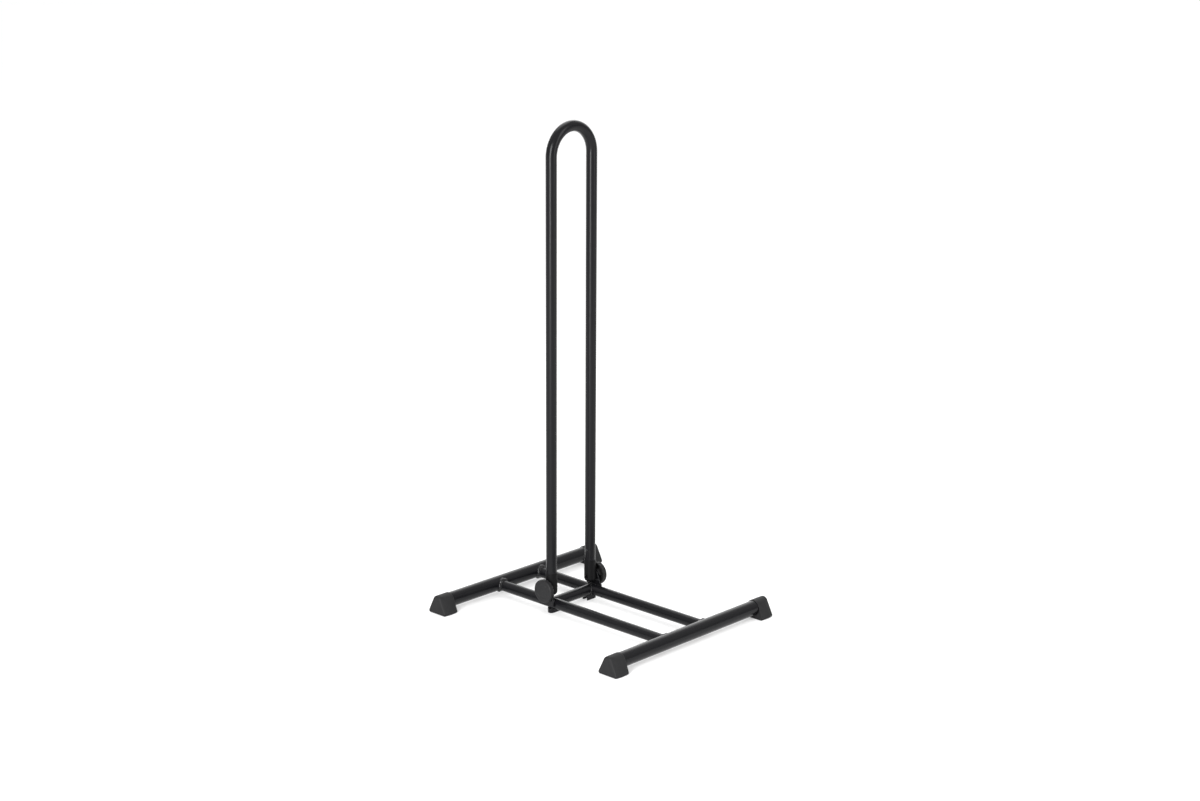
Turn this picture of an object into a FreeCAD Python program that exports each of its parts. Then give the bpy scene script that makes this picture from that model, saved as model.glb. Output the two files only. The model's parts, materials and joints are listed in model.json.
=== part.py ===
import FreeCAD, Part
import math
import os

import Sketcher

# A floor rack that holds a bicycle by one wheel.  A welded base of two cross tubes, two rails and a
# crossbar lies on the floor.  A tall closed hoop stands on it between two ears, turns on a bolt at
# each leg and is locked there by two hand knobs, so it can be folded down onto either cross tube.
#
# Frame: millimetres, +X to the right, +Y to the rear, +Z up.  The origin is on the floor, midway
# between the cross tubes and midway between the legs.  "left" is -X and "front" is -Y.

Vector = FreeCAD.Vector
doc = FreeCAD.newDocument("FloorBikeRack")
sheet = doc.addObject("Spreadsheet::Sheet", "Sizes")

DRIVING_SIZES = [
    ("half_spacing", 41.2, "centre plane to the axis of a leg, and of the rail under it"),
    ("half_width", 169.2, "centre plane to the outer face of an end cap"),
    ("cross_depth", 172.4, "origin to the axis of a cross tube, along Y"),
    ("cross_height", 16.5, "floor to the axis of a cross tube"),
    ("cross_diameter", 22, "outside of a cross tube"),
    ("cross_wall", 1.5, "wall of a cross tube"),
    ("slim_diameter", 16, "outside of the hoop, rails and crossbar"),
    ("slim_wall", 1.2, "wall of the hoop, rails and crossbar"),
    ("rail_height", 14.5, "floor to the axes of the rails and the crossbar"),
    ("crossbar_depth", 58.3, "origin to the axis of the crossbar, along Y"),
    ("hinge_depth", 60.7, "origin to the pivot line, along Y"),
    ("hinge_height", 35.5, "floor to the pivot line"),
    ("arc_height", 676.9, "floor to the centre of the hoop's half circle"),
    ("vent_diameter", 3.6, "drain and vent holes drilled in the tubes"),
    ("hoop_vent_height", 671, "floor to the vent in the hoop's right leg"),
    ("rail_vent_reach", 30, "pivot line to a rail's vents, along Y"),
    ("rail_vent_tilt", 35, "degrees that a rail's vents look down from level"),
    ("rail_weld_size", 3.2, "leg of the beads between rails and cross tubes"),
    ("weld_size", 2.2, "leg of the other weld beads"),
    ("cap_length", 25.5, "end cap, along X"),
    ("cap_skin", 1, "rubber over the top of the tube"),
    ("cap_end_wall", 10, "solid rubber beyond the end of the tube"),
    ("cap_half_base", 20, "centre to where a cap's side and sole would meet in a sharp corner"),
    ("cap_corner", 3, "rounding of the base corners"),
    ("cap_taper", 9, "outer stretch of a cap, along X, that narrows towards its end"),
    ("cap_apex_height", 21.2, "floor to the centre of the rounded top at a cap's end"),
    ("cap_apex_radius", 7.6, "rounded top at a cap's end"),
    ("cap_edge", 2, "rounding of the outer end"),
    ("ear_thickness", 3, "plate of a hinge ear"),
    ("ear_radius", 8, "rounded top of an ear, about the pivot"),
    ("ear_half_foot", 14.5, "centre to the side of an ear where it meets the rail"),
    ("ear_shoulder", 20.5, "floor to where an ear starts to narrow"),
    ("ear_bottom", 11.5, "floor to the lower edge of an ear"),
    ("ear_corner", 2, "rounding of an ear's lower corners"),
    ("ear_weld_stop", 1, "side of an ear to the end of its weld"),
    ("foot_inner_reach", 12.6, "rail axis to the open end of a middle foot"),
    ("foot_outer_reach", 7.8, "rail axis to the round end of a middle foot"),
    ("foot_half_width", 5.4, "centre to the side of a middle foot"),
    ("foot_strip", 2, "strip that a middle foot is bent from"),
    ("foot_top", 12, "floor to the top of a middle foot, at its round end"),
    ("end_diameter", 17.6, "leg end, outside"),
    ("end_top", 60.2, "floor to the shoulder that carries the tube"),
    ("end_rim", 0.4, "rounding of that shoulder"),
    ("end_bottom", 26.4, "floor to a leg end's lower face"),
    ("end_round", 6, "rounding of the lower face's edge"),
    ("spigot_diameter", 13.4, "part of a leg end inside the tube"),
    ("spigot_top", 95, "floor to the top of the spigot"),
    ("cheek_reach", 7.15, "leg axis to the flat that faces the ear"),
    ("cheek_top", 50, "floor to the top of that flat"),
    ("rivet_height", 77, "floor to the rivet that holds the tube on its leg end"),
    ("rivet_diameter", 3.2, "rivet shank"),
    ("rivet_head", 4.2, "rivet head, across"),
    ("rivet_dome", 0.9, "rivet head, height"),
    ("rivet_ball", 3.2, "radius of the rivet head's round face"),
    ("rivet_depth", 7, "tube wall to the blind end of the shank"),
    ("bolt_diameter", 6, "pivot bolt"),
    ("bolt_head_diameter", 10, "pivot bolt's round head, across"),
    ("bolt_head", 6, "height of the bolt's head"),
    ("bolt_socket_flats", 5, "socket for the key in the bolt's head, across the flats"),
    ("bolt_socket_depth", 3, "depth of that socket"),
    ("bolt_seat", 40.6, "centre plane to the face that the head bears on"),
    ("bolt_tip", 58, "centre plane to the tip of the bolt"),
    ("bolt_room", 0.1, "a hole's diameter over the bolt's"),
    ("key_hole", 6.4, "hole in a leg end through which a key reaches the socket"),
    ("liner_thickness", 0.75, "nylon washer between leg end and ear"),
    ("liner_diameter", 14, "nylon washer, across"),
    ("washer_gap", 0.05, "play on each side of the steel washer"),
    ("washer_thickness", 1.2, "steel washer between ear and knob"),
    ("washer_diameter", 14, "steel washer, across"),
    ("knob_diameter", 35, "knob, across its rim"),
    ("knob_back", 52.8, "centre plane to the open side of the knob's skirt"),
    ("knob_depth", 7.4, "skirt to face"),
    ("knob_web", 2, "thickness of the knob's face"),
    ("knob_skirt", 1.8, "thickness of the knob's skirt"),
    ("knob_round", 1.8, "rounding of the knob's front edge"),
    ("knob_hub", 17, "boss round the nut, across"),
    ("knob_dish", 21, "shallow dish in the face, across"),
    ("knob_dish_depth", 0.3, "depth of the dish"),
    ("flute_count", 16, "finger flutes round the knob"),
    ("flute_radius", 2.4, "radius of a flute"),
    ("flute_depth", 0.9, "depth of a flute"),
    ("flute_land", 1.9, "plain band between the flutes and the face"),
    ("rib_count", 8, "ribs between hub and skirt"),
    ("rib_thickness", 1.2, "thickness of a rib"),
    ("rib_step", 1.2, "skirt's open side to a rib"),
    ("nut_flats", 10, "nut moulded into the knob, across the flats"),
    ("nut_height", 4, "that nut's height"),
    ("nut_cover", 0.7, "plastic behind the nut"),
]
for row, (alias, value, note) in enumerate(DRIVING_SIZES, start=1):
    sheet.set(f"A{row}", note)
    sheet.set(f"B{row}", str(value))
    sheet.setAlias(f"B{row}", alias)
doc.recompute()


# ---- sizes that know their formula ----

class Size:
    """A length: its value, and the expression that binds it to the sheet."""

    def __init__(self, value, text):
        self.value = float(value)
        self.text = text

    def __add__(self, other):
        other = as_size(other)
        return Size(self.value + other.value, f"({self.text} + {other.text})")

    def __sub__(self, other):
        other = as_size(other)
        return Size(self.value - other.value, f"({self.text} - {other.text})")

    def __mul__(self, factor):
        return Size(self.value * factor, f"({self.text} * {factor})")

    def __truediv__(self, divisor):
        return Size(self.value / divisor, f"({self.text} / {divisor})")

    def __neg__(self):
        return Size(-self.value, f"(-1 * {self.text})")


def as_size(value):
    """A plain number as a Size, and a Size as it is."""
    return value if isinstance(value, Size) else Size(value, str(value))


def cell(alias):
    """The driving size in the cell with this alias."""
    return Size(sheet.get(alias), f"Sizes.{alias}")


ZERO = as_size(0)
half_spacing = cell("half_spacing")
half_width = cell("half_width")
cross_depth = cell("cross_depth")
cross_height = cell("cross_height")
cross_radius = cell("cross_diameter") / 2
slim_radius = cell("slim_diameter") / 2
slim_bore = slim_radius - cell("slim_wall")
rail_height = cell("rail_height")
crossbar_depth = cell("crossbar_depth")
hinge_depth = cell("hinge_depth")
hinge_height = cell("hinge_height")
vent_radius = cell("vent_diameter") / 2
weld_size = cell("weld_size")
bolt_radius = cell("bolt_diameter") / 2
bolt_hole = bolt_radius + cell("bolt_room") / 2
ear_inner = half_spacing + slim_radius
ear_outer = ear_inner + cell("ear_thickness")


# ---- primitives, booleans and where they lie ----

TURN_TO = {
    "X": FreeCAD.Rotation(Vector(0, 1, 0), 90),
    "Y": FreeCAD.Rotation(Vector(1, 0, 0), -90),
    "Z": FreeCAD.Rotation(),
}
SUBPARTS = []


def subpart(thing, name):
    """Give a finished piece the name that its file takes."""
    thing.Label = name
    SUBPARTS.append(thing)
    return thing


def bind(thing, path, size):
    """Tie one property to the sheet."""
    thing.setExpression(path, as_size(size).text)


def place(thing, at, turn=None):
    """Put a thing at three sizes (X, Y, Z), turned by a rotation."""
    at = [as_size(size) for size in at]
    corner = Vector(at[0].value, at[1].value, at[2].value)
    thing.Placement = FreeCAD.Placement(corner, turn or FreeCAD.Rotation())
    for axis, size in zip("xyz", at):
        bind(thing, f"Placement.Base.{axis}", size)
    return thing


def cylinder(radius, length, at, along="Z", turn=None):
    """A round bar that starts at a point and runs along an axis or a turned Z."""
    bar = doc.addObject("Part::Cylinder", "Bar")
    bind(bar, "Radius", radius)
    bind(bar, "Height", length)
    return place(bar, at, turn or TURN_TO[along])


def prism(flats, length, at, along):
    """A hexagonal bar, stated across its flats, with two corners up and down when along X."""
    bar = doc.addObject("Part::Prism", "Hexagon")
    bar.Polygon = 6
    bind(bar, "Circumradius", flats / math.sqrt(3))
    bind(bar, "Height", length)
    return place(bar, at, TURN_TO[along])


def box(spans, at):
    """A block of three spans from its low corner."""
    block = doc.addObject("Part::Box", "Block")
    for side, span in zip(("Length", "Width", "Height"), spans):
        bind(block, side, span)
    return place(block, at)


def cut(base, *tools):
    """The base less each tool in turn."""
    for tool in tools:
        result = doc.addObject("Part::Cut", "Cut")
        result.Base = base
        result.Tool = tool
        base = result
    return base


def joined(kind, shapes):
    """Several shapes as one Part::MultiFuse, Part::MultiCommon or Part::Compound."""
    result = doc.addObject(kind, "Joined")
    if kind == "Part::Compound":
        result.Links = shapes
    else:
        result.Shapes = shapes
    return result


def mirrored(source, name, normal=Vector(1, 0, 0)):
    """The same piece on the other side of a plane through the origin."""
    twin = doc.addObject("Part::Mirroring", "Mirrored")
    twin.Source = source
    twin.Base = Vector(0, 0, 0)
    twin.Normal = normal
    return subpart(twin, name)


# ---- bodies and sketches ----

START, END, CENTRE = 1, 2, 3
ORIGIN = (-1, START)
LEVEL_AXIS, UPRIGHT_AXIS = -1, -2


def origin_part(body, role):
    """One of a body's own origin planes or axes."""
    return next(part for part in body.Origin.OriginFeatures if part.Role == role)


def new_body(at):
    """An empty body whose own origin is at three sizes."""
    return place(doc.addObject("PartDesign::Body", "Body"), at)


def new_sketch(body, plane, lift=ZERO):
    """A sketch on a body's own plane, lifted along the plane's normal."""
    sketch = body.newObject("Sketcher::SketchObject", "Sketch")
    sketch.AttachmentSupport = [(origin_part(body, plane), "")]
    sketch.MapMode = "FlatFace"
    bind(sketch, "AttachmentOffset.Base.z", lift)
    return sketch


def measure(sketch, kind, where, size):
    """A dimension of a sketch, bound to the sheet."""
    index = sketch.addConstraint(Sketcher.Constraint(kind, *where, size.value))
    bind(sketch, f"Constraints[{index}]", size)


def pin(sketch, point, across, up):
    """Fix a point at two sizes from the sketch's origin."""
    for kind, axis, size in (("DistanceX", UPRIGHT_AXIS, across), ("DistanceY", LEVEL_AXIS, up)):
        size = as_size(size)
        if size.value == 0:
            sketch.addConstraint(Sketcher.Constraint("PointOnObject", *point, axis))
        elif size.value > 0:
            measure(sketch, kind, (*ORIGIN, *point), size)
        else:
            measure(sketch, kind, (*point, *ORIGIN), -size)


def meet(sketch, kind, first, second):
    """End one edge where the next starts, as a corner (Coincident) or smoothly (Tangent)."""
    sketch.addConstraint(Sketcher.Constraint(kind, first, END, second, START))


def draw_line(sketch, start, end):
    """A line between two points given as pairs of sizes; returns its number in the sketch."""
    ends = [Vector(as_size(x).value, as_size(y).value, 0) for x, y in (start, end)]
    return sketch.addGeometry(Part.LineSegment(*ends), False)


def draw_circle(sketch, centre, radius):
    """A circle, pinned and bound."""
    middle = Vector(as_size(centre[0]).value, as_size(centre[1]).value, 0)
    index = sketch.addGeometry(Part.Circle(middle, Vector(0, 0, 1), radius.value), False)
    pin(sketch, (index, CENTRE), *centre)
    measure(sketch, "Radius", (index,), radius)


def draw_arc(sketch, centre, radius, from_degrees, to_degrees):
    """An anticlockwise arc with its centre pinned and its radius bound; returns its number."""
    middle = Vector(as_size(centre[0]).value, as_size(centre[1]).value, 0)
    circle = Part.Circle(middle, Vector(0, 0, 1), radius.value)
    arc = Part.ArcOfCircle(circle, math.radians(from_degrees), math.radians(to_degrees))
    index = sketch.addGeometry(arc, False)
    pin(sketch, (index, CENTRE), *centre)
    measure(sketch, "Radius", (index,), radius)
    return index


def draw_polygon(sketch, corners):
    """A closed outline of straight sides with every corner pinned."""
    following = corners[1:] + corners[:1]
    lines = [draw_line(sketch, start, end) for start, end in zip(corners, following)]
    for line, next_line, (across, up) in zip(lines, lines[1:] + lines[:1], following):
        meet(sketch, "Coincident", line, next_line)
        pin(sketch, (line, END), across, up)


def hexagon(flats):
    """Corners of a hexagon with one corner straight up."""
    reach = flats / math.sqrt(3)
    turns = [math.radians(60 * side) for side in range(6)]
    corners = [(round(math.sin(turn), 9), round(math.cos(turn), 9)) for turn in turns]
    return [(reach * across, reach * up) for across, up in corners]


def feature(body, kind, profile, **settings):
    """A feature made from a sketch."""
    made = body.newObject(f"PartDesign::{kind}", kind)
    made.Profile = profile
    for name, value in settings.items():
        if isinstance(value, Size):
            bind(made, name, value)
        else:
            setattr(made, name, value)
    doc.recompute()
    return made


def bore(body, profile, length, **settings):
    """A pocket that must take material away."""
    before = body.Shape.Volume
    pocket = feature(body, "Pocket", profile, Length=length, **settings)
    if body.Shape.Volume > before - 0.01:
        raise RuntimeError(f"a pocket in {body.Name} cuts nothing")
    return pocket


def repeat(body, source, count):
    """A feature repeated round the body's X axis."""
    pattern = body.newObject("PartDesign::PolarPattern", "Pattern")
    pattern.Originals = [source]
    pattern.Axis = (origin_part(body, "X_Axis"), [""])
    pattern.Angle = 360
    bind(pattern, "Occurrences", count)
    body.Tip = pattern
    doc.recompute()
    return pattern


def round_edges(body, radius, wanted):
    """Round the edges of a body that a test on the edge picks."""
    base = body.Tip
    names = [f"Edge{number}" for number, edge in enumerate(base.Shape.Edges, start=1) if wanted(edge)]
    fillet = body.newObject("PartDesign::Fillet", "Fillet")
    fillet.Base = (base, names)
    bind(fillet, "Radius", radius)
    doc.recompute()
    return fillet


# ---- the base's tubes ----

def cross_tube(name, depth):
    """A straight tube across the rack, stopping inside its two end caps."""
    body = new_body((0, depth, cross_height))
    profile = new_sketch(body, "YZ_Plane")
    draw_circle(profile, (ZERO, ZERO), cross_radius)
    draw_circle(profile, (ZERO, ZERO), cross_radius - cell("cross_wall"))
    length = (half_width - cell("cap_end_wall")) * 2
    feature(body, "Pad", profile, Length=length, SideType="Symmetric")
    return subpart(body, name)


def cross_bar_solid(depth, radius):
    """The solid round space of a cross tube, to shape what meets it."""
    return cylinder(radius, half_width * 2, (-half_width, depth, cross_height), "X")


def rail_solid(radius):
    """The solid round space of the right rail from cross tube to cross tube."""
    return cylinder(radius, cross_depth * 2, (half_spacing, -cross_depth, rail_height), "Y")


def crossbar_solid(radius):
    """The solid round space of the crossbar from rail axis to rail axis."""
    return cylinder(radius, half_spacing * 2, (-half_spacing, crossbar_depth, rail_height), "X")


def rail_vent(reach):
    """The drill through a rail's inner wall, a given way behind the pivot line."""
    tilt = math.radians(cell("rail_vent_tilt").value)
    inward_and_down = Vector(-math.cos(tilt), 0, -math.sin(tilt))
    turn = FreeCAD.Rotation(Vector(0, 0, 1), inward_and_down)
    return cylinder(vent_radius, slim_radius * 1.5, (half_spacing, hinge_depth + reach, rail_height),
                    turn=turn)


def slot_solid(half_width_size, height):
    """A block with one round end, as a middle foot is in plan, towards +X."""
    round_centre = half_spacing + cell("foot_outer_reach") - cell("foot_half_width")
    start = half_spacing - cell("foot_inner_reach")
    straight = box((round_centre - start, half_width_size * 2, height),
                   (start, crossbar_depth - half_width_size, 0))
    end = cylinder(half_width_size, height, (round_centre, crossbar_depth, 0))
    return joined("Part::MultiFuse", [straight, end])


def right_rail():
    """A tube between the cross tubes, its ends shaped round them, with two vents."""
    vents = [rail_vent(cell("rail_vent_reach")), rail_vent(-cell("rail_vent_reach"))]
    saddles = [cross_bar_solid(depth, cross_radius) for depth in (cross_depth, -cross_depth)]
    return subpart(cut(rail_solid(slim_radius), rail_solid(slim_bore), *saddles, *vents), "right_rail")


def crossbar():
    """The short tube between the rails, its ends shaped round them."""
    left_saddle = cylinder(slim_radius, cross_depth * 2, (-half_spacing, -cross_depth, rail_height), "Y")
    tube = cut(crossbar_solid(slim_radius), crossbar_solid(slim_bore), rail_solid(slim_radius), left_saddle)
    return subpart(tube, "hinge_crossbar")


front_cross_tube = cross_tube("front_cross_tube", -cross_depth)
rear_cross_tube = cross_tube("rear_cross_tube", cross_depth)
mirrored(right_rail(), "left_rail")
crossbar()


# ---- weld beads ----

def rail_weld(depth):
    """The ring of weld where the right rail meets one cross tube."""
    leg = cell("rail_weld_size")
    collar = cylinder(slim_radius + leg, cross_depth * 2, (half_spacing, -cross_depth, rail_height), "Y")
    bead_length = (slim_radius + leg) * 2
    bead_start = (half_spacing - slim_radius - leg, depth, cross_height)
    skin = cylinder(cross_radius + leg, bead_length, bead_start, "X")
    near = box((bead_length, cross_radius + leg, cross_height * 2),
               (bead_start[0], depth if depth.value < 0 else depth - cross_radius - leg, 0))
    ring = joined("Part::MultiCommon", [collar, skin, near])
    return cut(ring, rail_solid(slim_radius), cross_bar_solid(depth, cross_radius))


def crossbar_weld():
    """The ring of weld where the crossbar meets the right rail, less the room of the foot below."""
    collar = crossbar_solid(slim_radius + weld_size)
    skin = cylinder(slim_radius + weld_size, (slim_radius + weld_size) * 2,
                    (half_spacing, crossbar_depth - slim_radius - weld_size, rail_height), "Y")
    ring = joined("Part::MultiCommon", [collar, skin])
    foot = slot_solid(cell("foot_half_width"), rail_height)
    return cut(ring, crossbar_solid(slim_radius), rail_solid(slim_radius), foot)


def ear_weld():
    """Two runs of weld that fill the grooves between the right rail and its ear."""
    half_run = cell("ear_half_foot") - cell("ear_weld_stop")
    start = hinge_depth - half_run
    upper = box((weld_size * 1.5, half_run * 2, weld_size),
                (ear_inner - weld_size * 1.5, start, cell("ear_shoulder") - weld_size / 2))
    lower = box((weld_size * 2, half_run * 2, weld_size),
                (ear_inner - weld_size, start, cell("ear_bottom") - weld_size))
    foot = slot_solid(cell("foot_half_width"), rail_height)
    return cut(joined("Part::Compound", [upper, lower]), rail_solid(slim_radius), foot)


def weld_pair(name, bead):
    """A bead and its mirror image as one group."""
    twin = doc.addObject("Part::Mirroring", "Mirrored")
    twin.Source = bead
    twin.Normal = Vector(1, 0, 0)
    subpart(joined("Part::Compound", [bead, twin]), name)


weld_pair("front_rail_welds", rail_weld(-cross_depth))
weld_pair("rear_rail_welds", rail_weld(cross_depth))
weld_pair("crossbar_welds", crossbar_weld())
weld_pair("ear_welds", ear_weld())


# ---- ears, middle feet and end caps ----

def right_ear():
    """A plate on the rail's outer side: round about the pivot, wide where it is welded."""
    body = new_body((ear_inner, hinge_depth, hinge_height))
    outline = new_sketch(body, "YZ_Plane")
    radius = cell("ear_radius")
    side = cell("ear_half_foot")
    shoulder = cell("ear_shoulder") - hinge_height
    bottom = cell("ear_bottom") - hinge_height
    top = draw_arc(outline, (ZERO, ZERO), radius, 0, 180)
    left_slant = draw_line(outline, (-radius, 0), (-side, shoulder))
    left_side = draw_line(outline, (-side, shoulder), (-side, bottom))
    base = draw_line(outline, (-side, bottom), (side, bottom))
    right_side = draw_line(outline, (side, bottom), (side, shoulder))
    right_slant = draw_line(outline, (side, shoulder), (radius, 0))
    meet(outline, "Tangent", top, left_slant)
    for first, second in ((left_slant, left_side), (left_side, base), (base, right_side),
                          (right_side, right_slant)):
        meet(outline, "Coincident", first, second)
    meet(outline, "Tangent", right_slant, top)
    for line, across, up in ((left_slant, -side, shoulder), (left_side, -side, bottom),
                             (base, side, bottom), (right_side, side, shoulder)):
        pin(outline, (line, END), across, up)
    plate = feature(body, "Pad", outline, Length=cell("ear_thickness"))
    round_edges(body, cell("ear_corner"), lambda edge: through_corner(edge, plate, side, bottom))
    hole = new_sketch(body, "YZ_Plane")
    draw_circle(hole, (ZERO, ZERO), bolt_hole)
    bore(body, hole, cell("ear_thickness"), Reversed=True)
    return subpart(body, "right_hinge_ear")


def through_corner(edge, plate, side, bottom):
    """Whether an edge is one of the plate's two lower corners, through its thickness."""
    middle = edge.CenterOfMass
    return (abs(edge.Length - plate.Length.Value) < 0.01 and abs(abs(middle.y) - side.value) < 0.01
            and abs(middle.z - bottom.value) < 0.01)


def right_middle_foot():
    """A bent strip that stands on the floor, shaped to the rail and crossbar on top of it."""
    height = cell("foot_top")
    outside = slot_solid(cell("foot_half_width"), height)
    inside = slot_solid(cell("foot_half_width") - cell("foot_strip"), height)
    strip = cut(outside, inside, rail_solid(slim_radius), crossbar_solid(slim_radius))
    return subpart(strip, "right_middle_foot")


def cap_section(body, at, top_radius, top_height):
    """A cap's outline at one place along X: a round top, slanted sides and rounded base corners."""
    section = new_sketch(body, "YZ_Plane", lift=at)
    corner = cell("cap_corner")
    reach = cap_corner_reach(top_radius.value, top_height.value)
    top = draw_arc(section, (ZERO, top_height), top_radius, 20, 160)
    left_slant = draw_line(section, (-top_radius, top_height), (-cell("cap_half_base"), corner))
    left_corner = draw_arc(section, (-reach, corner), corner, 160, 270)
    base = draw_line(section, (-reach, 0), (reach, 0))
    right_corner = draw_arc(section, (reach, corner), corner, -90, 20)
    right_slant = draw_line(section, (cell("cap_half_base"), corner), (top_radius, top_height))
    outline = [top, left_slant, left_corner, base, right_corner, right_slant]
    for first, second in zip(outline, outline[1:] + outline[:1]):
        meet(section, "Tangent", first, second)
    return section


def cap_corner_reach(top_radius, top_height):
    """Centre to the centre of a base corner's rounding, from how steep the slanted side is."""
    half_base = cell("cap_half_base")
    slant = (math.atan2(top_height, half_base.value)
             + math.asin(top_radius / math.hypot(top_height, half_base.value)))
    return half_base - cell("cap_corner") * round(1 / math.tan(slant / 2), 6)


def front_right_cap():
    """A rubber foot pushed onto a tube end: round over the tube, then narrowing to a triangular end."""
    length = cell("cap_length")
    body = new_body((half_width - length, -cross_depth, 0))
    sleeve = cap_section(body, ZERO, cross_radius + cell("cap_skin"), cross_height)
    feature(body, "Pad", sleeve, Length=length - cell("cap_taper"))
    start = cap_section(body, length - cell("cap_taper"), cross_radius + cell("cap_skin"), cross_height)
    end = cap_section(body, length, cell("cap_apex_radius"), cell("cap_apex_height"))
    feature(body, "AdditiveLoft", start, Sections=[end], Ruled=True)
    round_edges(body, cell("cap_edge"), lambda edge: edge.BoundBox.XMin > length.value - 0.01)
    socket = new_sketch(body, "YZ_Plane")
    draw_circle(socket, (ZERO, cross_height), cross_radius)
    bore(body, socket, length - cell("cap_end_wall"), Reversed=True)
    return subpart(body, "front_right_cap")


mirrored(right_ear(), "left_hinge_ear")
mirrored(right_middle_foot(), "left_middle_foot")
right_cap = front_right_cap()
rear_cap = mirrored(right_cap, "rear_right_cap", Vector(0, 1, 0))
mirrored(right_cap, "front_left_cap")
mirrored(rear_cap, "rear_left_cap")


# ---- the hoop ----

def hoop_tube():
    """Two straight legs joined by a half circle, drilled for the rivets and one vent."""
    end_top = cell("end_top")
    arc_height = cell("arc_height")
    body = new_body((0, hinge_depth, 0))
    path = new_sketch(body, "XZ_Plane")
    right_leg = draw_line(path, (half_spacing, end_top), (half_spacing, arc_height))
    arch = draw_arc(path, (ZERO, arc_height), half_spacing, 0, 180)
    left_leg = draw_line(path, (-half_spacing, arc_height), (-half_spacing, end_top))
    meet(path, "Tangent", right_leg, arch)
    meet(path, "Tangent", arch, left_leg)
    measure(path, "DistanceY", (*ORIGIN, right_leg, START), end_top)
    measure(path, "DistanceY", (*ORIGIN, left_leg, END), end_top)
    for leg in (right_leg, left_leg):
        path.addConstraint(Sketcher.Constraint("Vertical", leg))
    profile = new_sketch(body, "XY_Plane", lift=end_top)
    draw_circle(profile, (half_spacing, ZERO), slim_radius)
    draw_circle(profile, (half_spacing, ZERO), slim_bore)
    feature(body, "AdditivePipe", profile, Spine=(path, ["Edge1", "Edge2", "Edge3"]))
    inner_walls = (half_spacing - slim_bore / 2) * 2
    rivets = new_sketch(body, "YZ_Plane")
    draw_circle(rivets, (ZERO, cell("rivet_height")), cell("rivet_diameter") / 2)
    bore(body, rivets, inner_walls, SideType="Symmetric")
    vent = new_sketch(body, "YZ_Plane")
    draw_circle(vent, (-slim_radius / 4, cell("hoop_vent_height")), vent_radius / 2)
    bore(body, vent, inner_walls / 2, Reversed=True)
    return subpart(body, "hoop_tube")


def right_leg_end():
    """A moulded end: a spigot in the tube, a sleeve with a round tip, a flat beside the ear."""
    body = new_body((half_spacing, hinge_depth, 0))
    radius = cell("end_diameter") / 2
    spigot = cell("spigot_diameter") / 2
    shoulder = cell("end_top")
    top = cell("spigot_top")
    bottom = cell("end_bottom")
    half = new_sketch(body, "XZ_Plane")
    draw_polygon(half, [(ZERO, bottom), (radius, bottom), (radius, shoulder), (spigot, shoulder),
                        (spigot, top), (ZERO, top)])
    feature(body, "Revolution", half, ReferenceAxis=(half, ["V_Axis"]))
    round_edges(body, cell("end_rim"), lambda edge: is_rim(edge, radius, shoulder))
    round_edges(body, cell("end_round"), lambda edge: is_rim(edge, radius, bottom))
    cheek = new_sketch(body, "YZ_Plane", lift=cell("cheek_reach"))
    high = cell("cheek_top")
    draw_polygon(cheek, [(-radius, bottom), (radius, bottom), (radius, high), (-radius, high)])
    bore(body, cheek, radius, Reversed=True)
    seat = cell("bolt_seat") - half_spacing
    for hole_radius, depth in ((cell("bolt_head_diameter") / 2, cell("bolt_head")),
                               (cell("key_hole") / 2, radius * 2)):
        hole = new_sketch(body, "YZ_Plane", lift=seat)
        draw_circle(hole, (ZERO, hinge_height), hole_radius)
        bore(body, hole, depth)
    hole = new_sketch(body, "YZ_Plane", lift=seat)
    draw_circle(hole, (ZERO, hinge_height), bolt_radius)
    bore(body, hole, radius, Reversed=True)
    rivet = new_sketch(body, "YZ_Plane", lift=slim_bore * -1 + cell("rivet_depth") - cell("slim_wall"))
    draw_circle(rivet, (ZERO, cell("rivet_height")), cell("rivet_diameter") / 2)
    bore(body, rivet, radius)
    return subpart(body, "right_leg_end")


def is_rim(edge, radius, height):
    """Whether an edge is the level circle of this radius at this height."""
    span = edge.BoundBox
    return (abs(span.XLength - 2 * radius.value) < 0.01 and abs(span.ZMin - height.value) < 0.01
            and abs(span.ZMax - height.value) < 0.01)


def right_rivet():
    """A blind rivet through the tube's inner wall into the spigot, with a low round head."""
    height = cell("rivet_height")
    dome = cell("rivet_dome")
    ball = cell("rivet_ball")
    wall = half_spacing - slim_radius
    sphere = doc.addObject("Part::Sphere", "Ball")
    bind(sphere, "Radius", ball)
    place(sphere, (wall - dome + ball, hinge_depth, height))
    band = cylinder(cell("rivet_head") / 2, dome * 2, (wall - dome, hinge_depth, height), "X")
    head = joined("Part::MultiCommon", [sphere, band])
    tube = cylinder(slim_radius, half_spacing * 2, (half_spacing, hinge_depth, cell("end_top")))
    shank = cylinder(cell("rivet_diameter") / 2, cell("rivet_depth"), (wall, hinge_depth, height), "X")
    return subpart(joined("Part::MultiFuse", [cut(head, tube), shank]), "right_leg_rivet")


def right_bolt():
    """A bolt with a round socket head, held in the leg end, that reaches into the knob's nut."""
    seat = cell("bolt_seat")
    start = (seat - cell("bolt_head"), hinge_depth, hinge_height)
    head = cylinder(cell("bolt_head_diameter") / 2, cell("bolt_head"), start, "X")
    shank = cylinder(bolt_radius, cell("bolt_tip") - start[0], start, "X")
    socket = prism(cell("bolt_socket_flats"), cell("bolt_socket_depth"), start, "X")
    return subpart(cut(joined("Part::MultiFuse", [head, shank]), socket), "right_pivot_bolt")


def ring(name, outer, inner, thickness, start):
    """A flat washer on the pivot line."""
    blank = cylinder(outer, thickness, (start, hinge_depth, hinge_height), "X")
    hole = cylinder(inner, thickness, (start, hinge_depth, hinge_height), "X")
    return subpart(cut(blank, hole), name)


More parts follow.
